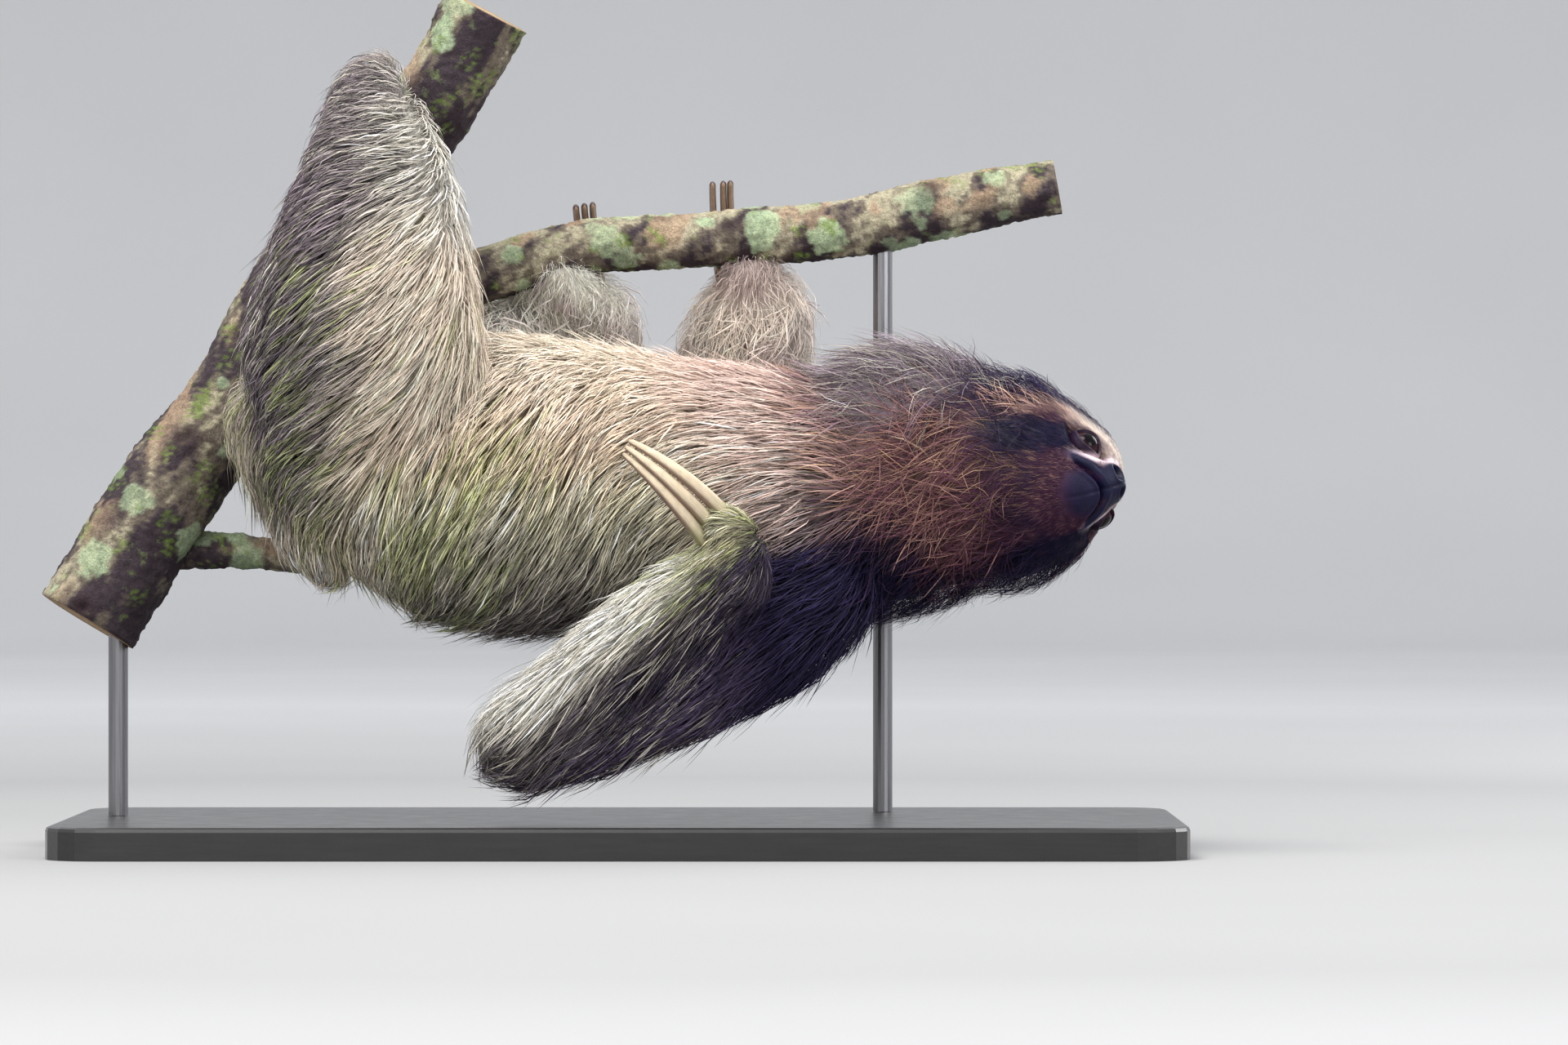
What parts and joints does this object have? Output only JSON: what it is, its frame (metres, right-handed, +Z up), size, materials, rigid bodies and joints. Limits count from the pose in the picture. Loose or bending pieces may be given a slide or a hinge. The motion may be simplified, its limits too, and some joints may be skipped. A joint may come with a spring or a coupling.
{
  "type": "three-toed sloth display model",
  "caption": "Life-size brown-throated three-toed sloth clinging belly up beneath a forked branch, with long hooked claws and a thick shaggy coat, held on a flat base by rods.",
  "frame": {"origin": "centre of the flat underside of the stand's base", "axes": "+X along the body toward the head, +Z up (the belly faces up), -Y toward the animal's left side, which the picture shows"},
  "size_m": [0.6358, 0.3297, 0.4783],
  "materials": {
    "coat": "long shaggy fur, grey-brown to cream with green algae streaks",
    "coat_dark": "long fur, reddish brown on the throat and cheeks, dark on the crown and nape",
    "nose_skin": "smooth bare black skin",
    "eye": "wet, dark brown",
    "claw": "horn, ochre with a pale ridge",
    "bark": "rough bark with pale lichen",
    "stand_base": "satin black lacquer",
    "stand_rod": "satin dark steel"
  },
  "bodies": {
    "root": {"belly": "coat", "chest": "coat", "claw_foot_left_1": "claw", "claw_foot_left_2": "claw", "claw_foot_left_3": "claw", "claw_foot_right_1": "claw", "claw_foot_right_2": "claw", "claw_foot_right_3": "claw", "claw_hand_left_1": "claw", "claw_hand_left_2": "claw", "claw_hand_left_3": "claw", "claw_hand_right_1": "claw", "claw_hand_right_2": "claw", "claw_hand_right_3": "claw", "eye_left": "eye", "eye_right": "eye", "foot_left": "coat", "foot_right": "coat", "forearm_left": "coat", "forearm_right": "coat", "hand_left": "coat", "hand_right": "coat", "head": "coat_dark", "neck": "coat_dark", "nose": "nose_skin", "perch_branch": "bark", "perch_stem": "bark", "perch_stump": "bark", "rump": "coat", "shank_left": "coat", "shank_right": "coat", "stand_base": "stand_base", "stand_rod_high": "stand_rod", "stand_rod_low": "stand_rod", "tail": "coat", "thigh_left": "coat", "thigh_right": "coat", "upper_arm_left": "coat", "upper_arm_right": "coat"}
  },
  "joints": []
}
